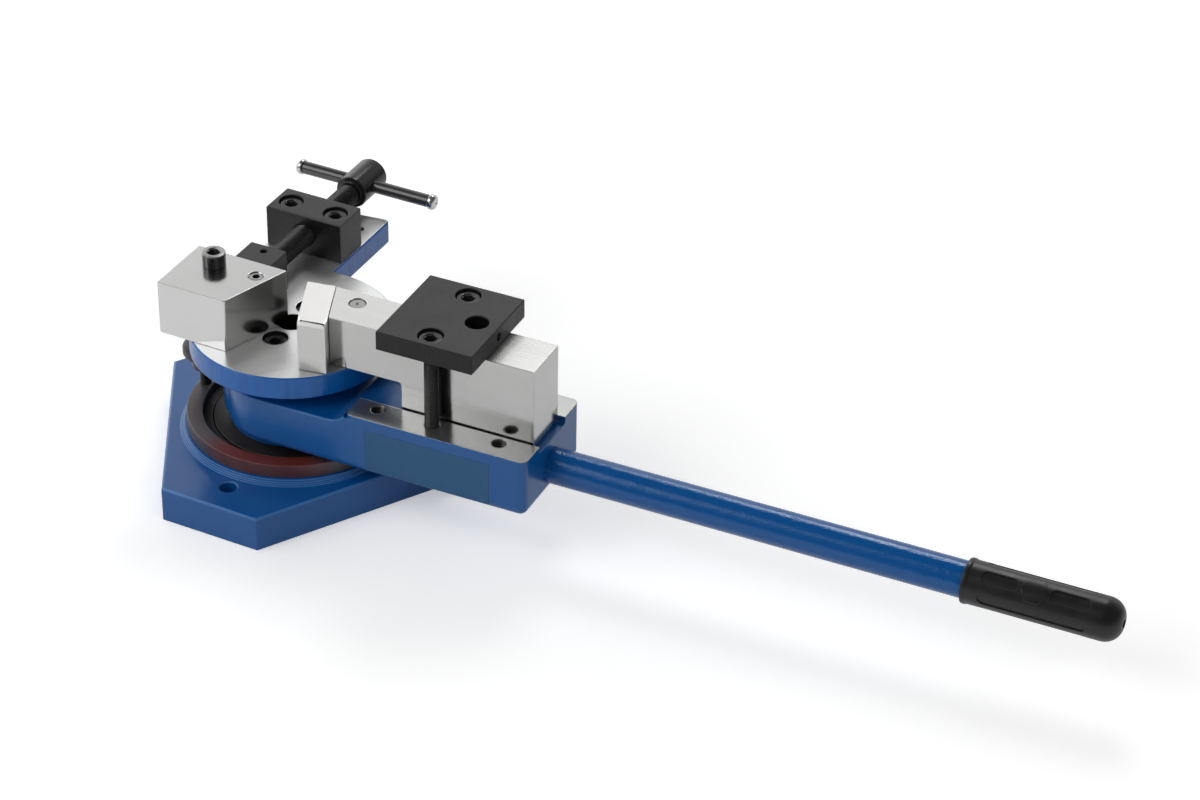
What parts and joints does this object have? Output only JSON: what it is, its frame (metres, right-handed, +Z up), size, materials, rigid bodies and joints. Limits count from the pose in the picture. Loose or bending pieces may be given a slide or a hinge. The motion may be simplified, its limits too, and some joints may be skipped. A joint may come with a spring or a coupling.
{
  "type": "bench metal bender",
  "caption": "Floor-bolted bench bender: a lever with a sliding die swings round a fixed table and folds flat bar about the edge of a former block; a screw-driven pusher clamps the bar.",
  "frame": {"origin": "on the lever's pivot axis, at the underside of the base", "axes": "+Z up along the pivot; +Y along the clamp screw, towards its tommy bar; the lever points along +X, turned 1.7 degrees towards +Y"},
  "size_m": [0.7137, 0.2903, 0.158],
  "materials": {
    "blue_paint": "satin blue paint over casting texture",
    "machined_steel": "machined",
    "ground_steel": "ground bright",
    "black_steel": "black oxide, satin",
    "dark_iron": "dark, oiled",
    "bronze": "turned",
    "black_plastic": "satin",
    "grip_vinyl": "satin, moulded pattern",
    "bright_cap": "bright"
  },
  "bodies": {
    "stand": {"base_plate": "blue_paint", "column": "machined_steel", "column_screws": "black_steel", "lower_thrust_washer": "machined_steel", "upper_thrust_washer": "machined_steel", "table": "machined_steel", "table_screws": "black_steel", "screw_block": "black_steel", "screw_block_screws": "black_steel", "former_block": "ground_steel", "former_bolt": "black_steel", "former_set_screw": "black_steel"},
    "lever": {"lever_arm": "blue_paint", "hub_bush": "bronze", "hub_collar": "machined_steel", "lever_tube": "blue_paint", "lever_grip": "grip_vinyl", "clamp_plate": "black_steel", "plate_screws": "black_steel", "plate_set_screw": "black_steel"},
    "slide": {"slide_block": "machined_steel", "bending_die": "ground_steel", "die_pin": "ground_steel"},
    "pusher": {"pusher_block": "black_steel", "pusher_pin": "black_steel"},
    "screw": {"clamp_screw": "black_steel"},
    "tommy": {"tommy_bar": "black_steel", "tommy_cap_left": "bright_cap", "tommy_cap_right": "bright_cap"},
    "ring": {"stop_ring": "dark_iron"},
    "knob": {"stop_stud": "black_steel", "stop_knob": "black_plastic"}
  },
  "joints": [
    {"name": "lever_swing", "type": "hinge", "parent": "stand", "child": "lever", "pos_m": [0, 0, 0.06], "axis": [0, 0, 1], "range_deg": [-39.6, 68.3]},
    {"name": "die_slide", "type": "slide", "parent": "lever", "child": "slide", "axis": [0.9996, 0.0297, 0], "range_m": [-0.01, 0.03]},
    {"name": "screw_turn", "type": "hinge", "parent": "pusher", "child": "screw", "pos_m": [-0.0382, 0.1, 0.122], "axis": [0, -1, 0], "range_deg": [-7920, 1188]},
    {"name": "pusher_slide", "type": "slide", "parent": "stand", "child": "pusher", "axis": [0, -1, 0], "range_m": [-0.0441, 0.00661]},
    {"name": "tommy_slide", "type": "slide", "parent": "screw", "child": "tommy", "axis": [1, 0, 0], "range_m": [-0.043, 0.0348]},
    {"name": "stop_ring_turn", "type": "hinge", "parent": "stand", "child": "ring", "pos_m": [0, 0, 0.035], "axis": [0, 0, 1], "range_deg": [-140, 60]},
    {"name": "stop_knob_turn", "type": "hinge", "parent": "ring", "child": "knob", "pos_m": [-0.06883, -0.00481, 0.06], "axis": [0, 0, 1], "range_deg": [-180, 180]}
  ],
  "couplings": [
    {"joint": "pusher_slide", "follows": "screw_turn", "m_per_rad": 0.00031831}
  ]
}
